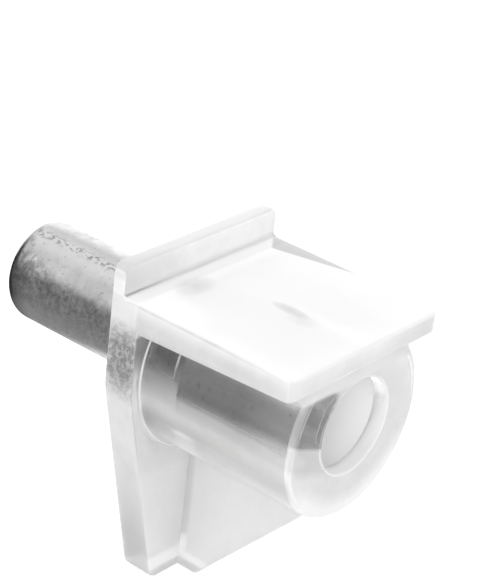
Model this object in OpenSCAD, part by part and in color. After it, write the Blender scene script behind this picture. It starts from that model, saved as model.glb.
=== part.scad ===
// Shelf support pin: a clear moulded ledge bracket on a steel pin.
// The pin's free end plugs into a hole in a cabinet side, and a shelf rests on the ledge.
// Origin: on the pin's axis, in the plane of the bracket's back face.
// +Y runs out along the free pin, -Y towards the front of the ledge, +Z is up.

/* [Steel pin] */
// Diameter of the free end, which plugs into the cabinet side
pin_d = 5; // [4:0.1:6]
// Length of the free end, from the back face to its tip
pin_reach = 9.2; // [6:0.1:14]
// Rounding of the tip's edge
tip_round = 0.8; // [0.2:0.05:1]
// Radial step from the free end down to the moulded-in shank, along a 45 degree shoulder
shank_step = 0.2; // [0.16:0.02:0.4]
// Chamfer on the shank's end
shank_chamfer = 0.2; // [0.05:0.05:0.5]
// Width of the retaining groove round the shank
groove_w = 0.4; // [0.2:0.05:1]
// Depth of the retaining groove
groove_depth = 0.15; // [0.05:0.05:0.4]
// Distance from the back face to the middle of the retaining groove
groove_at = 2.55; // [1:0.05:7]

/* [Ledge] */
// Width of the ledge, the lip and the top of the back plate
ledge_w = 10.2; // [9.8:0.1:16]
// Depth of the bracket, from the back face to the ledge's front edge
ledge_depth = 10.2; // [8:0.1:16]
// Thickness of the ledge where it leaves the back plate
ledge_root = 1.55; // [1.1:0.05:1.9]
// Thickness of the ledge at its front edge
ledge_tip = 1.1; // [0.8:0.05:1.45]
// Plastic between the pin's shank and the shelf face of the ledge
ledge_cover = 1.7; // [1.3:0.05:2]
// Rounding of the ledge's two front corners, seen from above
ledge_corner = 0.5; // [0.2:0.05:1.5]
// Rounding of the ledge's lower front edge
ledge_edge = 0.3; // [0.1:0.05:0.5]

/* [Lip] */
// Height of the lip above the shelf face
lip_h = 1.45; // [0.8:0.05:4]
// Thickness of the lip
lip_t = 0.7; // [0.5:0.05:1.5]
// Rounding of the lip's two upper corners
lip_corner = 0.7; // [0.2:0.05:0.8]
// Fillet where the lip meets the shelf face
lip_fillet = 0.3; // [0.1:0.05:0.6]

/* [Back plate] */
// Thickness of the back plate
plate_t = 1.6; // [1:0.1:3]
// Distance from the pin's axis down to the foot
foot_drop = 11.4; // [8:0.1:16]
// Width of the foot
foot_w = 5.3; // [3:0.1:9]
// Rounding of the foot's two corners
foot_corner = 0.8; // [0.3:0.1:1.4]

/* [Boss] */
// Wall of the boss round the pin's shank
boss_wall = 2.15; // [1.8:0.05:2.5]
// How far the boss's front face lies behind the ledge's front edge
boss_setback = 0.15; // [0.05:0.05:1]
// Depth of the round recess in front of the pin's end
recess_depth = 0.75; // [0.2:0.05:2]
// Rounding of the boss's front edge
boss_edge = 0.3; // [0.1:0.05:0.6]
// Fillet where the boss meets the back plate
boss_fillet = 0.4; // [0.1:0.05:0.6]
// Gap between the moulding and the steel, on the radius and at the groove's sides
mould_gap = 0.01; // [0:0.005:0.05]

/* [Web] */
// Thickness of the web under the boss
web_t = 1; // [0.6:0.1:2]
// How far the web's nose stands out in front of the back plate
web_nose = 1.35; // [0.8:0.05:3]
// Rounding of the web's nose
web_round = 0.5; // [0.2:0.1:0.8]
// Distance from the boss's front face back to where the web meets the boss
web_back = 0.95; // [0.3:0.05:3]

/* [Hidden] */
$fn = 96;

pin_r = pin_d / 2;
shank_r = pin_r - shank_step;
groove_r = shank_r - groove_depth;
boss_r = shank_r + boss_wall;
boss_len = ledge_depth - boss_setback;
shank_len = boss_len - recess_depth;
ledge_z = shank_r + ledge_cover;
lip_z = ledge_z + lip_h;
half_w = ledge_w / 2;
// How deep one form of the moulding runs into the next, so that they fuse
bury = 0.5;

// Direction of the outward normal of the line that touches two circles on one side:
// radius ra at a, and radius rb at b
function tangent(a, ra, b, rb, side) =
    atan2(b[1] - a[1], b[0] - a[0]) + side * acos((ra - rb) / norm(b - a));

// Points on the arc round c, from one angle to another
function arc(c, r, from, to, steps = 8) =
    [for (i = [0 : steps]) let (t = from + (to - from) * i / steps) c + r * [cos(t), sin(t)]];

// The same points on the other side of the middle, in the opposite order
function mirrored(points) = [for (i = [len(points) - 1 : -1 : 0]) [-points[i][0], points[i][1]]];

// Turns a half section, x out from the pin's axis and y along it, into a solid
module round_pin_axis() {
    rotate([-90, 0, 0]) rotate_extrude() children();
}

// Extrudes a front view, x across and y up, from the back face forwards
module forwards(t) {
    rotate([90, 0, 0]) linear_extrude(t) children();
}

// Extrudes a side view, x along the pin and y up, evenly to both sides of the middle
module across(w) {
    rotate([90, 0, 90]) linear_extrude(w, center = true) children();
}

// Moulded-in shank below its shoulder, grown by gap where the moulding surrounds it, and
// carried on past the back face so that it fuses with the free end
module shank(gap) {
    root = pin_r + gap;
    r = shank_r + gap;
    difference() {
        round_pin_axis() polygon([[0, bury], [root, bury], [root, 0], [r, -shank_step],
            [r, shank_chamfer - shank_len], [r - shank_chamfer, -shank_len], [0, -shank_len]]);
        // retaining groove
        round_pin_axis() translate([groove_r + gap, gap - groove_at - groove_w / 2])
            square([groove_depth + bury, groove_w - 2 * gap]);
    }
}

module free_end() {
    round_pin_axis() {
        square([pin_r, pin_reach - tip_round]);
        square([pin_r - tip_round, pin_reach]);
        translate([pin_r - tip_round, pin_reach - tip_round]) circle(tip_round);
    }
}

module pin() {
    color("silver") {
        shank(0);
        free_end();
    }
}

// Back plate: straight-sided beside the ledge, then tapering from the boss to the foot
module back_plate() {
    foot = [foot_w / 2 - foot_corner, foot_corner - foot_drop];
    a = tangent([0, 0], half_w, foot, foot_corner, 1);
    side = concat(arc(foot, foot_corner, -90, a), arc([0, 0], half_w, a, 0), [[half_w, ledge_z]]);
    forwards(plate_t) polygon(concat(side, mirrored(side)));
}

// Upright lip at the back of the ledge, which keeps the shelf clear of the cabinet side
module lip() {
    top = lip_z - lip_corner;
    forwards(lip_t) {
        translate([-half_w, ledge_z - bury]) square([ledge_w, top - ledge_z + bury]);
        translate([lip_corner - half_w, ledge_z - bury])
            square([ledge_w - 2 * lip_corner, lip_z - ledge_z + bury]);
        for (s = [-1, 1]) translate([s * (half_w - lip_corner), top]) circle(lip_corner);
    }
    // fillet between the lip and the shelf face
    across(ledge_w) difference() {
        translate([-lip_t - lip_fillet, ledge_z - bury])
            square([lip_fillet + bury, lip_fillet + bury]);
        translate([-lip_t - lip_fillet, ledge_z + lip_fillet]) circle(lip_fillet);
    }
}

// Ledge: a flat shelf face over an underside that rises to the front
module ledge() {
    root = [0, ledge_z - ledge_root];
    edge = [ledge_edge - ledge_depth, ledge_z - ledge_tip + ledge_edge];
    a = tangent(root, 0, edge, ledge_edge, 1);
    section = concat([root, [0, ledge_z], [-ledge_depth, ledge_z]], arc(edge, ledge_edge, 180, a));
    intersection() {
        across(ledge_w) polygon(section);
        translate([0, 0, root[1] - bury]) linear_extrude(ledge_root + 2 * bury) {
            translate([-half_w, ledge_corner - ledge_depth])
                square([ledge_w, ledge_depth - ledge_corner]);
            translate([ledge_corner - half_w, -ledge_depth])
                square([ledge_w - 2 * ledge_corner, ledge_depth]);
            for (s = [-1, 1])
                translate([s * (half_w - ledge_corner), ledge_corner - ledge_depth])
                    circle(ledge_corner);
        }
    }
}

// Round boss on the pin's axis, cut off inside the ledge
module boss() {
    intersection() {
        round_pin_axis() {
            translate([0, boss_edge - boss_len]) square([boss_r, boss_len - boss_edge]);
            translate([0, -boss_len]) square([boss_r - boss_edge, boss_len]);
            translate([boss_r - boss_edge, boss_edge - boss_len]) circle(boss_edge);
            // fillet at the back plate
            difference() {
                translate([boss_r - bury, -plate_t - boss_fillet])
                    square([boss_fillet + bury, boss_fillet + bury]);
                translate([boss_r + boss_fillet, -plate_t - boss_fillet]) circle(boss_fillet);
            }
        }
        translate([-ledge_w, -ledge_depth, ledge_z - ledge_tip / 2 - 2 * ledge_w])
            cube([2 * ledge_w, ledge_depth, 2 * ledge_w]);
    }
}

// Upright web in the middle, bracing the boss from the foot of the back plate
module web() {
    nose = [web_round - plate_t - web_nose, web_round - foot_drop];
    brow = [web_back - boss_len, -boss_r];
    a = tangent(brow, 0, nose, web_round, -1);
    across(web_t) polygon(concat([[-plate_t / 2, boss_wall / 2 - boss_r],
        brow + [0, boss_wall / 2], brow], arc(nose, web_round, a, -90), [[-plate_t / 2, -foot_drop]]));
}

// Round recess in the boss's front face, which ends at the pin
module recess() {
    depth = boss_setback + recess_depth + shank_chamfer;
    round_pin_axis() translate([0, -ledge_depth]) square([shank_r + mould_gap, depth]);
}

module bracket() {
    color("aliceblue", 0.6) difference() {
        union() {
            back_plate();
            lip();
            ledge();
            boss();
            web();
        }
        shank(mould_gap);
        recess();
    }
}

bracket();
pin();
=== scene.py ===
"""Shelf support pin: the finish of a clear moulded bracket and the steel pin moulded into it."""
import math
import bmesh
import bpy
import numpy as np
from types import SimpleNamespace
from mathutils import Matrix, Vector


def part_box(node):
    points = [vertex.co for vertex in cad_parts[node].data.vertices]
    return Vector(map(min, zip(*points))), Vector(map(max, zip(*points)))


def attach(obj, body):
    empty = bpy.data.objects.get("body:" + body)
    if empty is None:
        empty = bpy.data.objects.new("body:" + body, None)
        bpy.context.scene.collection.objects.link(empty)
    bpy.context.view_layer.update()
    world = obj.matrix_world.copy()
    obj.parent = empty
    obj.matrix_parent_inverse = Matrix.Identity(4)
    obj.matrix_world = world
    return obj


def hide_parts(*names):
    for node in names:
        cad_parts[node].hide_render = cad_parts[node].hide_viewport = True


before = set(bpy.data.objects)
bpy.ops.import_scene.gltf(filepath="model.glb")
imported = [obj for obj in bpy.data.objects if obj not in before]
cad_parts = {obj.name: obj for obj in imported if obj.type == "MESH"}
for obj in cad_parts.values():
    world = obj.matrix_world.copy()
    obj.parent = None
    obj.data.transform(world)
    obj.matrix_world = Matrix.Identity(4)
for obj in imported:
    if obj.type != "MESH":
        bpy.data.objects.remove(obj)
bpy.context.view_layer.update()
MM = 0.001

# ---------------------------------------------------------------- sizes
bracket_low, bracket_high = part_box("bracket")
pin_low, pin_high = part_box("pin")

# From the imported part
HALF_W = bracket_high.x
FRONT = bracket_low.y
FOOT = bracket_low.z
LIP_TOP = bracket_high.z
PIN_R = pin_high.x
PIN_TIP = pin_high.y
SHANK_END = pin_low.y

# The moulding's own sizes, as the part's source has them
SHELF = 4.0 * MM
LEDGE_ROOT = 1.55 * MM
LEDGE_TIP = 1.1 * MM
LEDGE_CORNER = 0.5 * MM
LEDGE_NOSE = 0.3 * MM
LIP_T = 0.7 * MM
LIP_CORNER = 0.55 * MM
LIP_FILLET = 0.16 * MM
PLATE_T = 1.6 * MM
FOOT_W = 5.3 * MM
FOOT_CORNER = 0.8 * MM
BOSS_R = 4.45 * MM
BOSS_SETBACK = 0.15 * MM
BOSS_EDGE = 0.3 * MM
BOSS_FILLET = 0.4 * MM
WEB_T = 1.0 * MM
WEB_NOSE = 1.35 * MM
WEB_ROUND = 0.5 * MM
WEB_BACK = 0.95 * MM
SHANK_R = 2.3 * MM
TIP_ROUND = 0.8 * MM
STEP = 0.2 * MM
CHAMFER = 0.02 * MM
GROOVE_AT = 2.55 * MM
GROOVE_W = 0.4 * MM
GROOVE_R = 2.15 * MM

# Finish sizes that the source leaves out: the moulding's edges, the recess's mouth, how far one form
# stands back from or bites into the next, and how far the moulding grips into the steel
EDGE = 0.14 * MM
MOUTH = 0.05 * MM
SEAM = 0.008 * MM
BITE = 0.003 * MM
GRIP = 0.01 * MM

# How far the ledge's inner end stays in front of the back face
BURY = 0.3 * MM

# Faces round a turned form, and the radius of the flat in the middle of each end of the pin
TURNS = 128
CORE = 0.2 * MM

# Middle of the foot's rounded corner, and the angle by which the plate's slanting sides lean in
FOOT_X, FOOT_Z = FOOT_W / 2 - FOOT_CORNER, FOOT + FOOT_CORNER
LEAN = math.acos((FOOT_CORNER - HALF_W) / math.hypot(FOOT_X, FOOT_Z)) - math.atan2(-FOOT_Z, -FOOT_X)


# ---------------------------------------------------------------- surfaces
def shell(name, rings):
    """A closed mesh from an array of rings of points, rings x points x 3. Neighbouring rings are
    joined by four-sided faces, and one flat face closes each end."""
    count, around, _ = rings.shape
    start = np.arange(count - 1)[:, None] * around
    here = np.arange(around)[None]
    after = (here + 1) % around
    sides = np.stack([start + here, start + after, start + after + around, start + here + around], -1)
    ends = [list(range(around))[::-1], list(range((count - 1) * around, count * around))]
    mesh = bpy.data.meshes.new(name)
    mesh.from_pydata(rings.reshape(-1, 3).tolist(), [], sides.reshape(-1, 4).tolist() + ends)
    work = bmesh.new()
    work.from_mesh(mesh)
    bmesh.ops.recalc_face_normals(work, faces=work.faces)
    work.to_mesh(mesh)
    work.free()
    piece = bpy.data.objects.new(name, mesh)
    bpy.context.scene.collection.objects.link(piece)
    return piece


def quarter(radius, steps=5):
    """Depth below an end and inset from the side along a quarter circle of the radius, from the
    end inwards: depth = r (1 - cos t) and inset = r (1 - sin t), for t from 0 to 90 degrees."""
    t = np.linspace(0, np.pi / 2, steps + 1)
    return radius * (1 - np.cos(t)), radius * (1 - np.sin(t))


def inset(depth, radius):
    """How far a rounded end has drawn in at a depth below its end: r - sqrt(r^2 - (r - depth)^2),
    and nothing once depth passes r."""
    left = np.clip(radius - depth, 0, radius)
    return radius - np.sqrt(radius ** 2 - left ** 2)


def rounded_box(u_low, u_high, v_low, v_high, radius, steps=4):
    """Rings round rectangles with rounded corners, one for each entry of the four arrays: a corner's
    point at angle t is the corner's centre plus r (cos t, sin t)."""
    t = np.linspace(0, np.pi / 2, steps + 1)
    t = (t[None] + np.arange(4)[:, None] * np.pi / 2).ravel()
    right = np.repeat([1, 0, 0, 1], steps + 1) > 0
    upper = np.repeat([1, 1, 0, 0], steps + 1) > 0
    limits = (u_low, u_high, v_low, v_high)
    u_low, u_high, v_low, v_high = (np.asarray(limit, float)[:, None] for limit in limits)
    u = np.where(right, u_high - radius, u_low + radius) + radius * np.cos(t)
    v = np.where(upper, v_high - radius, v_low + radius) + radius * np.sin(t)
    return u, v


def turned(name, profile, ceiling=None):
    """A profile of (radius, y) turned round the pin's axis: x = r cos t, z = r sin t. A ceiling
    flattens the top at that height."""
    t = np.linspace(0, 2 * np.pi, TURNS, endpoint=False)
    r, y = np.array(profile, float).T
    r, y = r[:, None], np.repeat(y[:, None], TURNS, 1)
    rings = np.stack([r * np.cos(t), y, r * np.sin(t)], -1)
    if ceiling is not None:
        rings[..., 2] = np.minimum(rings[..., 2], ceiling)
    return shell(name, rings)


def arc(r, y, radius, start, stop, steps=5):
    """Points (r, y) on a circle of the radius round a centre, from one angle to another in degrees."""
    t = np.radians(np.linspace(start, stop, steps + 1))
    return [(r + radius * math.cos(a), y + radius * math.sin(a)) for a in t]


def joined(base, part, operation):
    """The base with the other part added to it or cut from it."""
    cut = base.modifiers.new("join", "BOOLEAN")
    cut.operation = operation
    cut.solver = "EXACT"
    cut.object = part
    graph = bpy.context.evaluated_depsgraph_get()
    mesh = bpy.data.meshes.new_from_object(base.evaluated_get(graph))
    base.modifiers.clear()
    base.data = mesh
    bpy.data.objects.remove(part)


# ---------------------------------------------------------------- moulding
def back_slab():
    """Lip and back plate as one column of rounded rectangles up the height. The half width follows
    the foot's corner circle, the slanted side, the knee's circle round the pin and the lip's corner
    circle; the depth is the plate's, then the lip's with its fillet."""
    knee_z, bend_z = -HALF_W * math.sin(LEAN), FOOT_Z - FOOT_CORNER * math.sin(LEAN)
    knee_x, bend_x = HALF_W * math.cos(LEAN), FOOT_X + FOOT_CORNER * math.cos(LEAN)
    # inside the ledge, the plate's depth turns into the lip's between these heights
    turn_low, turn_high = SHELF - 1.2 * MM, SHELF - 0.2 * MM
    low, _ = quarter(EDGE)
    z = np.concatenate([
        FOOT + low, np.linspace(FOOT + EDGE, bend_z, 12), np.linspace(bend_z, knee_z, 12),
        np.linspace(knee_z, 0, 8), [turn_low, turn_high],
        SHELF + LIP_FILLET * (1 - np.cos(np.linspace(0, np.pi / 2, 7))),
        np.linspace(LIP_TOP - LIP_CORNER, LIP_TOP - EDGE, 9), LIP_TOP - low])
    z = np.unique(np.round(z, 8))
    corner = FOOT_X + np.sqrt(np.clip(FOOT_CORNER ** 2 - (z - FOOT_Z) ** 2, 0, None))
    slant = bend_x + (knee_x - bend_x) * (z - bend_z) / (knee_z - bend_z)
    knee = np.sqrt(np.clip(HALF_W ** 2 - np.minimum(z, 0) ** 2, 0, None))
    half = np.where(z > knee_z, knee, np.where(z < bend_z, corner, slant))
    half -= inset(LIP_TOP - z, LIP_CORNER)
    turned_in = np.clip((z - turn_low) / (turn_high - turn_low), 0, 1)
    depth = PLATE_T + (LIP_T + LIP_FILLET - PLATE_T) * turned_in
    rise = np.clip(SHELF + LIP_FILLET - z, 0, LIP_FILLET)
    fillet = LIP_T + LIP_FILLET - np.sqrt(LIP_FILLET ** 2 - rise ** 2)
    depth = np.where(z > (turn_high + SHELF) / 2, fillet, depth)
    drawn = inset(z - FOOT, EDGE) + inset(LIP_TOP - z, EDGE)
    x, y = rounded_box(-half, half, drawn - depth, -drawn, EDGE)
    return shell("bracket_clear", np.stack([x, y, np.repeat(z[:, None], x.shape[1], 1)], -1))


def ledge():
    """Ledge as rounded rectangles from its front edge back into the plate. The half width follows
    the front corner's circle, the top stays level and the underside falls to the root."""
    depth = np.concatenate([quarter(EDGE)[0], quarter(LEDGE_NOSE, 6)[0], quarter(LEDGE_CORNER, 9)[0],
                            np.linspace(LEDGE_CORNER, -FRONT - BURY, 6)])
    depth = np.unique(np.round(depth, 8))
    half = HALF_W - SEAM - inset(depth, LEDGE_CORNER)
    top = SHELF - inset(depth, EDGE)
    tip = LEDGE_TIP + (LEDGE_ROOT - LEDGE_TIP) * depth / -FRONT
    under = SHELF - tip + inset(depth, LEDGE_NOSE)
    x, z = rounded_box(-half, half, under, top, EDGE)
    return shell("ledge", np.stack([x, np.repeat(FRONT + depth[:, None], x.shape[1], 1), z], -1))


def boss():
    """Round boss turned on the pin's axis, with a rounded front edge and a fillet at the plate."""
    front = FRONT + BOSS_SETBACK
    root = -PLATE_T + BITE
    profile = [(BOSS_R + BOSS_FILLET, -PLATE_T / 2)]
    profile += arc(BOSS_R + BOSS_FILLET, root - BOSS_FILLET, BOSS_FILLET, 90, 180)
    profile += [(BOSS_R, -0.5 * PLATE_T + 0.5 * front)]
    profile += arc(BOSS_R - BOSS_EDGE, front + BOSS_EDGE, BOSS_EDGE, 0, -90)
    profile += [(0.5 * BOSS_R, front)]
    return turned("boss", profile, SHELF - LEDGE_TIP / 2)


def web():
    """Web as rounded rectangles up the height: its front follows the nose's circle, then the
    slanted line that touches that circle and ends at the boss."""
    nose_y, nose_z = -PLATE_T - WEB_NOSE + WEB_ROUND, FOOT + SEAM + WEB_ROUND
    brow_y, brow_z = FRONT + BOSS_SETBACK + WEB_BACK, -BOSS_R
    run, drop = nose_y - brow_y, nose_z - brow_z
    away = math.atan2(drop, run) - math.acos(-WEB_ROUND / math.hypot(run, drop))
    turn_y, turn_z = nose_y + WEB_ROUND * math.cos(away), nose_z + WEB_ROUND * math.sin(away)
    low, _ = quarter(EDGE)
    z = np.concatenate([FOOT + SEAM + low, np.linspace(FOOT + SEAM + EDGE, turn_z, 8),
                        np.linspace(turn_z, brow_z, 12), [brow_z + MM]])
    z = np.unique(np.round(z, 8))
    bend = nose_y - np.sqrt(np.clip(WEB_ROUND ** 2 - (z - nose_z) ** 2, 0, None))
    line = turn_y + (brow_y - turn_y) * np.clip((z - turn_z) / (brow_z - turn_z), 0, 1)
    front = np.where(z < turn_z, bend, line)
    half = WEB_T / 2 - inset(z - FOOT - SEAM, EDGE)
    x, y = rounded_box(-half, half, front, np.full_like(z, -PLATE_T / 2), EDGE)
    return shell("web", np.stack([x, y, np.repeat(z[:, None], x.shape[1], 1)], -1))


def bore():
    """What the pin and the recess in front of it take out of the moulding. The mouth's rounding stops
    a little short of the front face's plane, and both ends run out past the moulding."""
    r = SHANK_R - GRIP
    ring = GROOVE_R - GRIP
    side = GROOVE_W / 2 + GRIP
    front = FRONT + BOSS_SETBACK
    profile = [(PIN_R - GRIP, MM), (PIN_R - GRIP, 0), (r, -STEP),
               (r, side - GROOVE_AT), (ring, side - GROOVE_AT),
               (ring, -side - GROOVE_AT), (r, -side - GROOVE_AT), (r, SHANK_END)]
    profile += arc(r + MOUTH, front + MOUTH, MOUTH, 180, 262)
    profile += [(r + 0.9 * MOUTH, front - MM)]
    return turned("bore", profile)


bracket = back_slab()
joined(bracket, ledge(), "UNION")
joined(bracket, boss(), "UNION")
joined(bracket, web(), "UNION")
joined(bracket, bore(), "DIFFERENCE")


# ---------------------------------------------------------------- pin
def steel_pin():
    """Pin turned as one profile: tip, free end, shoulder, shank with its groove, chamfered end."""
    groove_back, groove_front = GROOVE_W / 2 - GROOVE_AT, -GROOVE_W / 2 - GROOVE_AT
    profile = [(CORE, PIN_TIP)]
    profile += arc(PIN_R - TIP_ROUND, PIN_TIP - TIP_ROUND, TIP_ROUND, 90, 0, 10)
    profile += [(PIN_R, PIN_TIP / 2), (PIN_R, 0), (SHANK_R, -STEP),
                (SHANK_R, groove_back), (GROOVE_R, groove_back),
                (GROOVE_R, groove_front), (SHANK_R, groove_front),
                (SHANK_R, SHANK_END + CHAMFER), (SHANK_R - CHAMFER, SHANK_END), (CORE, SHANK_END)]
    return turned("pin_steel", profile)


pin = steel_pin()


# ---------------------------------------------------------------- materials
class Signal:
    """A socket of a shader tree that takes part in plain arithmetic."""

    def __init__(self, tree, socket):
        self.tree, self.socket = tree, socket

    def math(self, operation, first, second):
        return self.tree.add("Math", {"operation": operation}, {0: first, 1: second})

    def __add__(self, other):
        return self.math("ADD", self, other)

    def __radd__(self, other):
        return self.math("ADD", other, self)

    def __sub__(self, other):
        return self.math("SUBTRACT", self, other)

    def __rsub__(self, other):
        return self.math("SUBTRACT", other, self)

    def __mul__(self, other):
        return self.math("MULTIPLY", self, other)

    def __rmul__(self, other):
        return self.math("MULTIPLY", other, self)

    def __pow__(self, other):
        return self.math("POWER", self, other)


class Tree:
    """A shader tree under construction."""

    def __init__(self, owner):
        owner.use_nodes = True
        self.owner = owner
        self.nodes, self.links = owner.node_tree.nodes, owner.node_tree.links
        self.nodes.clear()

    def add(self, kind, settings=None, values=None, out=0):
        """A node of a kind, with its settings set first and then its sockets' values or links.
        A ramp's two stops are given as the setting stops, a list of (place, grey level)."""
        node = self.nodes.new("ShaderNode" + kind)
        for key, value in (settings or {}).items():
            if key == "stops":
                for stop, (place, level) in zip(node.color_ramp.elements, value):
                    stop.position = place
                    stop.color = grey(level)
            else:
                setattr(node, key, value)
        for key, value in (values or {}).items():
            if isinstance(value, Signal):
                self.links.new(value.socket, node.inputs[key])
            else:
                node.inputs[key].default_value = value
        return Signal(self, node.outputs[out]) if len(node.outputs) else None

    def place(self):
        """The object coordinates, in metres."""
        return self.add("TexCoord", out="Object")

    def noise(self, scale, detail, roughness=0.5):
        """Noise from 0 to 1. Three scales stretch it along x, y and z."""
        at = self.place()
        if not isinstance(scale, (int, float)):
            at, scale = self.add("Mapping", {}, {"Vector": at, "Scale": scale}), 1.0
        return self.add("TexNoise", {}, {"Vector": at, "Scale": scale, "Detail": detail,
                                         "Roughness": roughness}, "Fac")

    def ramp(self, value, start, stop):
        """0 up to the start, 1 from the stop on, and an even rise between them."""
        return self.add("ValToRGB", {"stops": [(start, 0), (stop, 1)]}, {"Fac": value})

    def axes(self):
        """The three object coordinates, in millimetres."""
        return [self.add("SeparateXYZ", {}, {0: self.place()}, axis) * (1 / MM) for axis in "XYZ"]

    def clamp(self, value):
        """The value, kept from 0 to 1."""
        return self.add("Clamp", {}, {"Value": value})

    def above(self, value, edge, over):
        """1 above an edge and 0 below it, turning over a width that has the edge in its middle."""
        return self.clamp((value - edge) * (1 / over) + 0.5)

    def below(self, value, edge, over):
        """1 below an edge and 0 above it, turning over a width that has the edge in its middle."""
        return self.clamp((edge - value) * (1 / over) + 0.5)

    def between(self, value, low, high, over):
        """1 between two edges and 0 outside them, turning over the same width at both."""
        return self.above(value, low, over) * self.below(value, high, over)

    def larger(self, first, second):
        """The larger of two values."""
        return self.add("Math", {"operation": "MAXIMUM"}, {0: first, 1: second})

    def spot(self, x, y, middle, half):
        """1 in the middle of an oval on the shelf face, fading to 0 at its edge."""
        across, along = (x - middle[0]) * (1 / half[0]), (y - middle[1]) * (1 / half[1])
        return self.clamp(1 - (across * across + along * along))

    def blend(self, share, first, second):
        """A mix of two colours. Its sockets are named by place, because the node repeats their names."""
        return self.add("Mix", {"data_type": "RGBA"}, {0: share, 6: first, 7: second}, 2)

    def layers(self, ground, *coats):
        """A ground colour under coats, the last on top. A coat is its share and its colour or grey."""
        for share, colour in coats:
            colour = colour if isinstance(colour, Signal) else grey(colour)
            ground = self.blend(share, ground, colour)
        return ground

    def total(self, start, *parts):
        """A start plus its parts. A part is a weight and what it weighs."""
        for weight, part in parts:
            start = start + weight * part
        return start

    def seen(self):
        """1 on rays from the camera and on those that gloss or clear plastic sends on, otherwise 0."""
        return (self.add("LightPath", out="Is Camera Ray") + self.add("LightPath", out="Is Glossy Ray")
                + self.add("LightPath", out="Is Transmission Ray"))

    def bump(self, height, strength, distance):
        """A normal that follows a height. The distance is how high a height of 1 stands, in metres."""
        return self.add("Bump", {}, {"Height": height, "Strength": strength, "Distance": distance})

    def close(self, surface, kind="Material"):
        """Ends the tree in its output, and gives back the material or world that owns it."""
        self.add("Output" + kind, {}, {"Surface": surface})
        return self.owner


def grey(level):
    """An opaque colour of one level."""
    return (level, level, level, 1)


# Where the finishes measure from, in millimetres: heights, places along the pin from its tip to the
# front, half widths and radii
TOP, UNDERSIDE, CREST = SHELF / MM, (SHELF - LEDGE_ROOT) / MM, LIP_TOP / MM
REACH, LIP_FACE, PLATE_FACE, GROOVE = PIN_TIP / MM, -LIP_T / MM, -PLATE_T / MM, -GROOVE_AT / MM
PIN_END, BOSS_FACE, LEDGE_FACE = SHANK_END / MM, (FRONT + BOSS_SETBACK) / MM, FRONT / MM
SIDE, WEB_SIDE, BOSS, BORE = HALF_W / MM, WEB_T / MM / 2, BOSS_R / MM, SHANK_R / MM

# Grey blots on the shelf face: strength, then middle and half size across and along, in millimetres
BLOTS = ((1.3, (-1.8, -1.9), (1.2, 0.8)),
         (1.8, (-0.2, -6.0), (0.4, 1.1)),
         (0.6, (-0.5, -6.9), (0.6, 0.9)))


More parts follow.
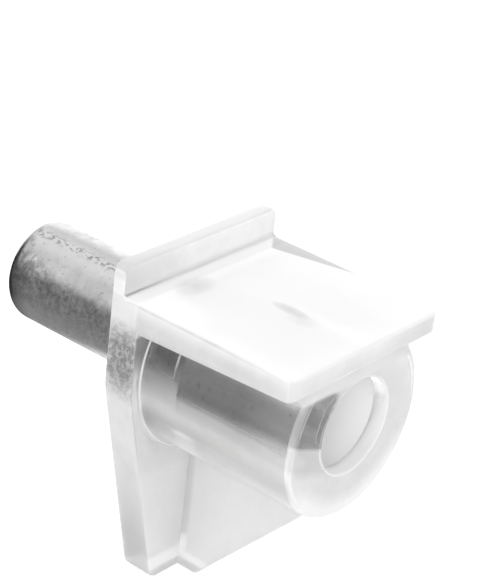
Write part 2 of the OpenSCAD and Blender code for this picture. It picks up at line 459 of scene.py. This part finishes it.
def plastic_places(tree, fine):
    """Places on the moulding where its finish changes or where light and shade are painted, each 1 inside
    and 0 outside. They are told apart by the coordinates in millimetres and the radius round the pin's
    axis, the root of x^2 + z^2."""
    above, below, between = tree.above, tree.below, tree.between
    x, y, z = tree.axes()
    radius = (x * x + z * z) ** 0.5
    at = SimpleNamespace()

    # ledge, shelf face and lip
    at.upper = above(z, UNDERSIDE, over=0.4)
    at.ledge = above(z, UNDERSIDE - 0.1, over=0.2) * below(y, PLATE_FACE + 0.1, over=0.2)
    off_ledge = 1 - at.ledge
    at.shelf_face = between(z, TOP - 0.1, TOP + 0.2, over=0.08) * below(y, LIP_FACE - 0.1, over=0.2)
    # painted light: the shelf face is lightened by the lip and towards its near corner, where the lip
    # shades it
    near_corner = below(x, 1.7 - SIDE, over=1.2) * above(y, -3.5, over=3)
    at.by_lip = above(y, LIP_FACE - 0.8, over=1.4) + 0.8 * near_corner
    # painted shade: the far part of the ledge's front is greyed
    at.far_front = at.ledge * below(y, LEDGE_FACE + 0.2, over=0.1) * above(x, 2.5, over=3)
    at.lip = above(z, TOP + 0.15, over=0.3)
    # painted shade: the lip's top is greyed along its crest
    at.crest = above(z, CREST - 0.12, over=0.08)

    # flank: the straight side of ledge and plate, and the plate's leaning side under it
    outward = tree.larger(0 - x, (0 - x) * math.cos(LEAN) - z * math.sin(LEAN))
    at.flank = above(outward, SIDE - 0.06, over=0.05)
    # painted shade: the ledge's side is greyed below its top edge
    at.ledge_side = at.ledge * at.flank * below(z, TOP - 0.4, over=0.8)
    # the lip's near end is clearer, and its milk is painted grey as the shade of the steel seen through it
    at.lip_end = below(x, -3.0, over=4.0) * at.lip * (1 - at.flank * below(z, TOP + 0.8, over=0.3))
    # painted shade on the flank: streaks and specks where the steel shows through at the pin's height, and
    # a grey lower part towards the foot
    at.smudge = at.flank * below(z, 2.4, over=1.2) * above(z, -0.4, over=1.6)
    at.foot = at.flank * below(z, -6.0, over=6.0)

    # boss: going down, its milk sets in sharply at the front, and slowly from near the groove backwards
    at.boss = below(radius, BOSS + 0.15, over=0.1) * below(y, PLATE_FACE, over=0.1) * off_ledge
    at.face = below(y, BOSS_FACE + 0.15, over=0.1) * off_ledge
    boss_side = at.boss * (1 - at.face)
    # painted shade: under the boss the clear tint is darker, and across its belly the milk is painted grey
    at.under = boss_side * below(z, -2.0, over=0.6)
    at.belly = below(z, -1.25, over=0.6) * above(z, -2.4, over=0.8)
    sharply = 0.4 * below(z, 0.15, over=0.35) + 0.6 * below(z, -0.3, over=0.8)
    slowly = below(z, 0.25, over=1.7)
    at.cloudy = boss_side * (sharply + above(y, GROOVE - 1.1, over=0.08) * (slowly - sharply))
    at.face_low = at.face * above(radius, BOSS - 0.85, over=0.8) * below(z, -2, over=1.5)

    # window: the steel shows through the front face beside the recess, between two slanting lines
    slant = z + 0.4 * x
    sill = -1.24
    beside = below(x, -1.6, over=0.6)
    clear = beside * above(slant, sill, over=0.2) * below(slant, 1.6, over=0.3)
    at.window = at.face * clear
    # painted shade: the front face below the window and left of the recess is greyed
    at.under_window = (at.face * below(x, -1.3, over=1.2) * below(slant, sill, over=0.2)
                       * above(slant, -2.5, over=0.5))

    # recess: its wall, that wall without its top, its outer part low down, which is painted darker as
    # shade, and a milkier line beside the mouth as a painted highlight
    at.wall = below(radius, BORE + 0.07, over=0.05) * below(y, PIN_END + 0.3, over=0.05) * (1 - clear)
    at.wall_sides = at.wall * below(z, 0.6, over=1.0)
    at.wall_low = at.wall * below(z, -1.3, over=1.2) * below(y, PIN_END - 0.3, over=0.5)
    at.mouth = (at.face * between(radius, BORE + 0.08, BORE + 0.16, over=0.03) * below(x, -1.2, over=0.6)
                * above(z, -1.1, over=0.8) * below(slant, 1.3, over=0.6))

    # rounded front edge of the boss and its collar, made milkier as a painted highlight, and a painted
    # thread of light inside it
    rounding = below(y, BOSS_FACE + 0.25, over=0.05) * off_ledge
    at.rim = (0.4 + fine) * above(radius, BOSS - 0.16, over=0.1) * rounding * below(z, 0.9, over=0.5)
    at.rim_low = at.rim * below(z, -0.8, over=0.5) * above(z, -3.2, over=1.5)
    at.collar = above(radius, BOSS - 0.29, over=0.06) * rounding * above(z, -0.6, over=1.0) * beside
    at.thread = at.face * between(radius, BOSS - 0.45, BOSS - 0.33, over=0.03) * above(z, 0.5, over=1.0)

    # where boss, plate and web meet: a milkier seam line as a painted highlight, painted shade at the
    # boss's root on the plate and at the web's root, and the milky apron below
    joint = above(y, PLATE_FACE - 0.42, over=0.06) * off_ledge * below(z, UNDERSIDE + 0.15, over=0.2)
    at.seam = joint * between(radius, BOSS + 0.13, BOSS + 0.2, over=0.03) * above(z, -4.3, over=1.2)
    at.root = (joint * above(radius, BOSS + 0.21, over=0.04) * below(y, PLATE_FACE + 0.02, over=0.03)
               * above(z, 0.9, over=1.2))
    at.apron = below(z, -4.2, over=2.5) * (1 - at.boss) * (1 - at.flank)
    web = below((x * x) ** 0.5, WEB_SIDE + 0.05, over=0.05) * below(z, 0.1 - BOSS, over=0.1)
    at.web_root = (web * above(y, PLATE_FACE - 0.4, over=0.25) * below(y, PLATE_FACE, over=0.04)
                   * above(z, -9.8, over=1.4))

    # a line of painted shade along the near top edge and in the lip's crease, a grey wedge along the far
    # edge, haze, grey blots, and small specks of painted shade on the flank
    at.near_edge = (between(z, TOP - 0.15, TOP - 0.03, over=0.03) * below(x, 0.1 - SIDE, over=0.03)
                    * below(y, LIP_FACE - 0.2, over=0.2) * above(y, -8, over=4) * (0.3 + fine))
    narrowing = 1.4 * above(y, -3.2, over=5.5)
    at.far_edge = (above(x + narrowing, SIDE - 0.07, over=0.08) * above(z, TOP - 0.2, over=0.1)
                   * above(x - 1.3 * (y - LIP_FACE), SIDE - 0.1, over=0.2) * (1 - at.lip))
    at.crease = (above(z, TOP + 0.02, over=0.02) * below(z, TOP + 0.09, over=0.03)
                 * above(y, LIP_FACE - 0.28, over=0.06) * below(x, -2.9, over=2.0) * (1 - at.flank))
    at.haze = (tree.ramp(tree.noise(700, 3.0, 0.6), 0.45, 0.68)
               * (1 - at.shelf_face) * (1 - at.wall) * (1 - 0.6 * at.apron))
    blots = sum(strength * tree.spot(x, y, middle, half) for strength, middle, half in BLOTS)
    at.blots = blots * at.shelf_face * (0.5 + fine)
    at.flecks = tree.ramp(tree.noise(5200, 5.0, 0.75), 0.42, 0.54) * at.smudge
    return at


def clear_plastic():
    """Clear moulded plastic: a milky body that varies with the flow of the melt, under a gloss with
    slight waves. The shelf face is left matt by the mould, so it is nearly white. The boss is clearer,
    so the steel shows in it. Greys and milkier lines at set places paint shade and highlights into it.
    Light that lamps send goes through to what lies behind."""
    tree = Tree(bpy.data.materials.new("clear_plastic"))
    flow = tree.noise(260, 2.0)
    fine = tree.noise(1500, 3.0)
    at = plastic_places(tree, fine)
    waves = tree.bump(flow * 0.7 + fine * 0.05 + at.flecks * 0.5, strength=0.25, distance=0.05 * MM)
    # the clear tint is darker under the boss as painted shade
    clear_colour = tree.layers(
        tree.blend(tree.ramp(flow, 0.3, 0.7), grey(0.80), grey(0.86)),
        (at.upper, 0.93), (at.boss, 0.96), (at.under, 0.72))
    clear = tree.add("BsdfPrincipled", {}, {
        "Base Color": clear_colour, "Roughness": 0.08 + 0.05 * fine, "IOR": 1.5,
        "Transmission Weight": 1.0, "Normal": waves})
    # the milk's greys at set places are painted shade, and the lightening by the lip is painted light
    milk_colour = tree.layers(
        grey(0.97),
        (at.cloudy * (1 - at.wall), tree.blend(at.belly, grey(0.97), grey(0.66))),
        (at.ledge, 0.86),
        (at.lip, tree.blend(at.lip_end, grey(0.94), grey(0.76))),
        (at.smudge * 0.95 + at.foot * 0.9, 0.57),
        (at.ledge_side * 0.55 + at.haze * 0.3, 0.7),
        (at.web_root * 0.3 + at.root * 0.9, 0.45),
        (at.under_window * 0.6, 0.6),
        (at.far_front * 0.6, 0.7),
        (at.shelf_face, tree.blend(at.by_lip, grey(0.83), grey(1.0))),
        (at.crest, 0.7),
        (at.near_edge * 0.5 + at.far_edge * 0.65 + at.crease * 0.6, 0.4),
        (at.wall_low * 0.75, 0.72),
        (at.blots * 0.5, 0.6),
        (at.flecks * 0.7, 0.2))
    milk = tree.add("BsdfPrincipled", {}, {
        "Base Color": milk_colour, "Roughness": 0.45, "IOR": 1.5, "Subsurface Weight": 1.0,
        "Subsurface Radius": (1, 1, 1), "Subsurface Scale": 1.0 * MM, "Normal": waves})
    # how milky each place is: 0 is clear and 1 is all milk. The seam, the rim, the collar and the line by
    # the mouth are made milkier as painted highlights
    milkiness = tree.total(
        0.42, (0.08, flow), (0.42, at.ledge), (0.04, at.upper * (1 - at.ledge)),
        (0.32, at.shelf_face), (-0.3, at.ledge * at.shelf_face), (0.4, at.lip), (-0.2, at.lip_end),
        (0.4, at.flank), (0.7, at.seam), (-0.2, at.root), (0.35, at.apron),
        (-0.42, at.boss), (0.6, at.cloudy), (0.7, at.face), (0.25, at.face_low), (-0.7, at.window),
        (0.3, at.wall), (0.6, at.wall_sides), (0.35, at.mouth),
        (0.15, at.rim), (0.35, at.rim_low), (0.3, at.collar), (0.35, at.thread))
    body = tree.add("MixShader", {}, {0: milkiness, 1: clear, 2: milk})
    through = tree.add("BsdfTransparent", {}, {"Color": grey(0.88)})
    from_lamp = tree.add("LightPath", out="Is Shadow Ray")
    return tree.close(tree.add("MixShader", {}, {0: from_lamp, 1: body, 2: through}))


def steel():
    """Zinc plated steel: grey with small clouds and specks of the plating and faint turning marks.
    Dull patches mottle it. A painted highlight lightens its top, and its lower side is painted dark as
    shade in blotches, darker at the tip and by the moulding, and lighter at the bottom as a painted
    reflection of the floor. The free end carries a row of small dark marks along its upper side. The end
    in the recess is sawn, so it is matt and pale, and lightened towards +x as painted light; the steel
    inside the moulding is painted lighter towards that end."""
    tree = Tree(bpy.data.materials.new("steel"))
    above, below = tree.above, tree.below
    x, y, z = tree.axes()

    # free end, the round of it without its end face, its tip, and its top just under the glint, which a
    # painted highlight lightens
    free = above(y, -0.2, over=0.4)
    around = above((x * x + z * z) ** 0.5, 1.8, over=0.2)
    end_face = (1 - around) * above(y, REACH - 0.1, over=0.05)
    tip = above(y, REACH - 1, over=1.2)
    upper = free * above(z, 1.95, over=0.3) * below(z, 2.42, over=0.1)
    # by the moulding, where painted shade darkens the lower side, inside it, and sawn off in the recess
    grime = free * below(y, 0.5, over=0.7)
    sheathed = (1 - free) * above(y, PIN_END + 0.05, over=0.05)
    sawn = below(y, PIN_END + 0.1, over=0.02)

    # painted shade on the lower side, in blotches below an uneven line that rises towards the tip,
    # lightened at the bottom as a painted reflection of the floor
    drift = tree.noise(800, 3.0, 0.6) - 0.5
    line = 0.9 + drift * 2.5 + (y - 6.5) * 0.5 * above(y, 6.5, over=0.5)
    lower = free * around * below(z, line, over=0.8)
    lowest = below(z, -0.1, over=2.0)
    blotches = tree.ramp(tree.noise(2800, 5.0, 0.75), 0.43, 0.57)
    worn = tree.blend(blotches, tree.blend(lowest, grey(0.28), grey(0.96)),
                      tree.blend(lowest, grey(0.72), grey(1.0)))

    # small dark marks in a narrow band, along a plane through the axis that is tilted from upright
    tilt = math.radians(69)
    off_plane = tree.add("Math", {"operation": "ABSOLUTE"}, {0: x * math.sin(tilt) + z * math.cos(tilt)})
    band = below(off_plane, 0.2, over=0.2) * above(z, 1, over=0.2) * above(y, 0.3, over=0.3)
    scuffs = band * tree.ramp(tree.noise((6500, 4400, 6500), 2.0, 0.6), 0.51, 0.56)

    clouds = tree.noise(900, 4.0, 0.6)
    patches = tree.ramp(tree.noise(1700, 4.0, 0.65), 0.4, 0.62) * free
    specks = tree.ramp(tree.noise(4200, 2.0), 0.62, 0.72)
    turning = tree.noise((60, 9000, 60), 3.0, 0.6)
    colour = tree.layers(
        tree.blend(tree.ramp(clouds, 0.35, 0.7), grey(0.53), grey(0.62)),
        # painted highlight along the top
        (upper * 0.5, 0.8),
        # painted shade and painted reflection on the lower side
        (lower * 0.8, worn),
        # painted shade, darker still at the tip and by the moulding
        ((tip + grime) * lower * 0.8, 0.1),
        # painted light: the steel inside the moulding lightens towards the recess
        (sheathed, tree.blend(below(y, PIN_END + 2, over=2.2), grey(0.67), grey(1.0))),
        (specks * 0.35 + scuffs * 0.55, 0.16),
        # painted light: the sawn end lightens towards +x
        (sawn, tree.blend(above(x, 0.6, over=3.0), grey(0.64), grey(0.95))))
    roughness = tree.total(0.18, (0.2, patches * (1 - tip)), (0.05, clouds), (0.35, sawn), (0.3, end_face))
    relief = clouds * 0.5 + turning * 0.12 - scuffs * 0.6 + patches * 0.2
    return tree.close(tree.add("BsdfPrincipled", {}, {
        "Base Color": colour, "Metallic": 1 - sawn, "Roughness": roughness,
        "Normal": tree.bump(relief, strength=0.3, distance=0.01 * MM)}))


def finish_piece(piece, material, node, sharp=32):
    """Smooth shading with the sharp edges kept, the material, and the piece's place in the frame."""
    mesh = piece.data
    mesh.materials.clear()
    mesh.materials.append(material)
    mesh.shade_smooth()
    mesh.set_sharp_from_angle(angle=math.radians(sharp))
    even = piece.modifiers.new("even", "WEIGHTED_NORMAL")
    even.keep_sharp = True
    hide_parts(node)
    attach(piece, "root")


finish_piece(bracket, clear_plastic(), "bracket")
finish_piece(pin, steel(), "pin")
for node, material in (("bracket", "clear_plastic"), ("pin", "steel")):
    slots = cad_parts[node].data.materials
    slots.clear()
    slots.append(bpy.data.materials[material])


# ---------------------------------------------------------------- studio
def floor():
    """Pale floor under the foot. Where it is looked at, it is lifted to the white of the backdrop."""
    side = 400 * MM
    mesh = bpy.data.meshes.new("floor")
    mesh.from_pydata([(-side, -side, FOOT), (side, -side, FOOT), (side, side, FOOT), (-side, side, FOOT)],
                     [], [(0, 1, 2, 3)])
    piece = bpy.data.objects.new("floor", mesh)
    bpy.context.scene.collection.objects.link(piece)
    tree = Tree(bpy.data.materials.new("pale_floor"))
    speckled = tree.blend(tree.noise(300, 3.0), grey(0.80), grey(0.82))
    plain = tree.add("BsdfDiffuse", {}, {"Color": speckled})
    glow = tree.add("Emission", {}, {"Color": grey(1), "Strength": tree.seen() * 0.35})
    tree.close(tree.add("AddShader", {}, {0: plain, 1: glow}))
    mesh.materials.append(tree.owner)


def surroundings():
    """A white studio where it is seen, and a softer one where it lights the part."""
    world = bpy.data.worlds.new("studio")
    bpy.context.scene.world = world
    tree = Tree(world)
    level = 0.9 + 0.1 * tree.seen()
    tree.close(tree.add("Background", {}, {"Color": grey(1), "Strength": level}), "World")


def lamp(name, place, size, power, shows):
    """Square lamp that points at the pin's axis. One that shows is mirrored in the steel and the gloss."""
    light = bpy.data.lights.new(name, "AREA")
    light.shape = "SQUARE"
    light.size = size
    light.energy = power
    holder = bpy.data.objects.new(name, light)
    bpy.context.scene.collection.objects.link(holder)
    holder.location = place
    holder.rotation_euler = (-Vector(place)).to_track_quat("-Z", "Y").to_euler()
    holder.visible_glossy = shows
    holder.visible_transmission = False


def dark_card():
    """A card out of the picture, beside and behind the pin, that gives the steel its contrast. It shows
    only in reflections and through the plastic. It is dark away from a slanting line on the floor,
    and fades to white across that line and up its standing part."""
    low = FOOT + 0.5 * MM
    left, back, front, right, high = -60 * MM, 90 * MM, -12 * MM, 60 * MM, 50 * MM
    mesh = bpy.data.meshes.new("dark_card")
    mesh.from_pydata([(left, front, low), (right, front, low), (right, back, low), (left, back, low),
                      (left, front, high), (left, back, high), (right, back, high)],
                     [], [(0, 1, 2, 3), (0, 3, 5, 4), (3, 2, 6, 5)])
    piece = bpy.data.objects.new("dark_card", mesh)
    bpy.context.scene.collection.objects.link(piece)
    tree = Tree(bpy.data.materials.new("dark_card"))
    x, y, z = tree.axes()
    above, below = tree.above, tree.below
    past = above(x - 0.9 * (y - 3), -6, over=5) * (1 - 0.75 * above(y, 11, over=5) * below(x, 28, over=8))
    corner = above(x, 15, over=4) * above(y, 24, over=4)
    height = 0.83 * above(z - 0.2 * (x + 60), 21, over=22)
    light = tree.clamp(tree.larger(past + corner, height))
    darkest = above(x, -12, over=6) * below(x, 14, over=4) * above(y, 20, over=6)
    colour = tree.blend(light, tree.blend(darkest, grey(0.25), grey(0.07)), grey(1.2))
    tree.close(tree.add("Emission", {}, {"Color": colour, "Strength": 1.0}))
    mesh.materials.append(tree.owner)
    piece.visible_camera = False
    piece.visible_diffuse = False
    piece.visible_shadow = False


floor()
surroundings()
dark_card()
lamp("softbox", place=(10 * MM, 30 * MM, 155 * MM), size=200 * MM, power=0.11, shows=False)
lamp("fill", place=(-90 * MM, -80 * MM, 30 * MM), size=100 * MM, power=0.008, shows=False)
lamp("backlight", place=(112 * MM, 83 * MM, 32 * MM), size=84 * MM, power=0.013, shows=True)


# ---------------------------------------------------------------- camera
def camera(azimuth, elevation, roll, lens, distance, aim):
    """Camera that stands at an azimuth and elevation round the aim, in degrees, and is rolled."""
    a, e, r = (math.radians(v) for v in (azimuth, elevation, roll))
    back = Vector((math.sin(a) * math.cos(e), -math.cos(a) * math.cos(e), math.sin(e)))
    right = Vector((0, 0, 1)).cross(back).normalized()
    up = back.cross(right)
    across = math.cos(r) * right - math.sin(r) * up
    upright = math.sin(r) * right + math.cos(r) * up
    data = bpy.data.cameras.new("camera")
    data.sensor_fit = "VERTICAL"
    data.sensor_height = 36
    data.lens = lens
    data.clip_start = MM
    holder = bpy.data.objects.new("camera", data)
    bpy.context.scene.collection.objects.link(holder)
    turn = Matrix((across, upright, back)).transposed()
    holder.matrix_world = Matrix.Translation(Vector(aim) + back * distance) @ turn.to_4x4()
    bpy.context.scene.camera = holder


camera(azimuth=-52.58, elevation=26.71, roll=-6.87, lens=131, distance=96.2 * MM,
       aim=(2.322 * MM, -1.21 * MM, 2.204 * MM))
bpy.context.scene.view_settings.view_transform = "Standard"
